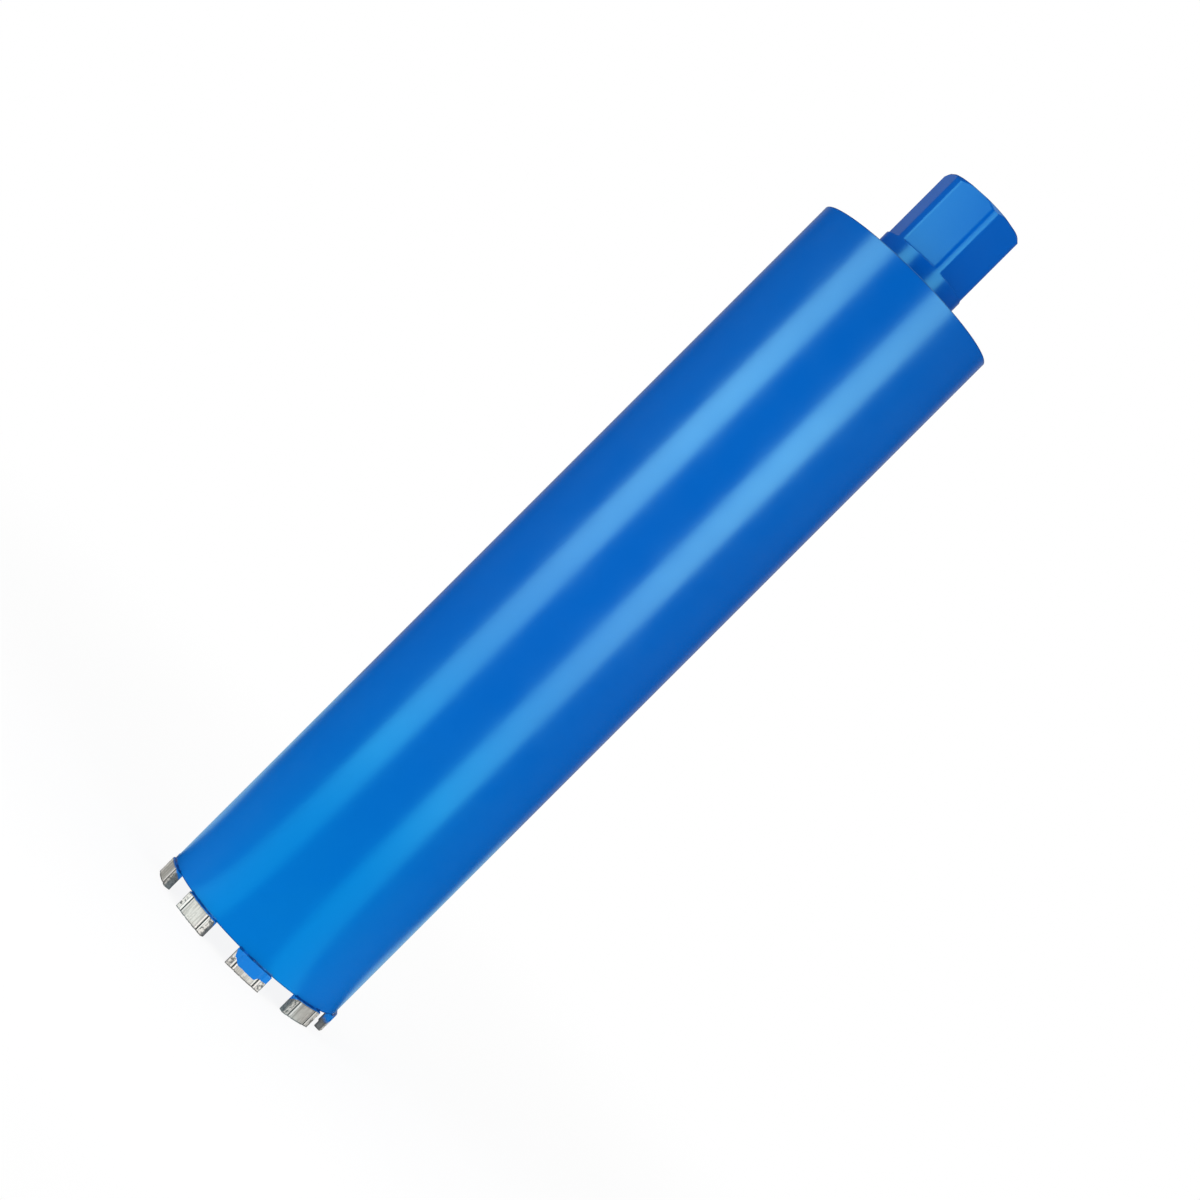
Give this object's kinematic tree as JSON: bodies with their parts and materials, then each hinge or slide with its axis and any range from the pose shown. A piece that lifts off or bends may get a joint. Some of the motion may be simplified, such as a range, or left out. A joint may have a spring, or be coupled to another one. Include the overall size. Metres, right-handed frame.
{
  "type": "diamond core bit",
  "caption": "Wet diamond core bit: a painted steel tube with grooved diamond segments on its front rim and a closed rear end that carries a threaded hexagon hub.",
  "frame": {"origin": "on the bit's axis, in the plane of the nine cutting faces it stands on", "axes": "+Z along the bit's axis towards the hub; +X through the middle of segment_1"},
  "size_m": [0.1113, 0.112, 0.5147],
  "materials": {
    "blue_paint": "glossy blue enamel on drawn steel",
    "hub_paint": "satin blue enamel on turned and milled steel",
    "weld_paint": "blue enamel over a weld bead",
    "sintered_segment": "rough sintered metal with diamond grit, blue overspray near the rim",
    "braze": "silver solder, partly under paint"
  },
  "bodies": {
    "root": {"tube": "blue_paint", "closing_plate": "blue_paint", "plate_weld": "weld_paint", "hub": "hub_paint", "hub_weld": "weld_paint", "segment_1": "sintered_segment", "segment_2": "sintered_segment", "segment_3": "sintered_segment", "segment_4": "sintered_segment", "segment_5": "sintered_segment", "segment_6": "sintered_segment", "segment_7": "sintered_segment", "segment_8": "sintered_segment", "segment_9": "sintered_segment", "braze_joint_1": "braze", "braze_joint_2": "braze", "braze_joint_3": "braze", "braze_joint_4": "braze", "braze_joint_5": "braze", "braze_joint_6": "braze", "braze_joint_7": "braze", "braze_joint_8": "braze", "braze_joint_9": "braze"}
  },
  "joints": []
}
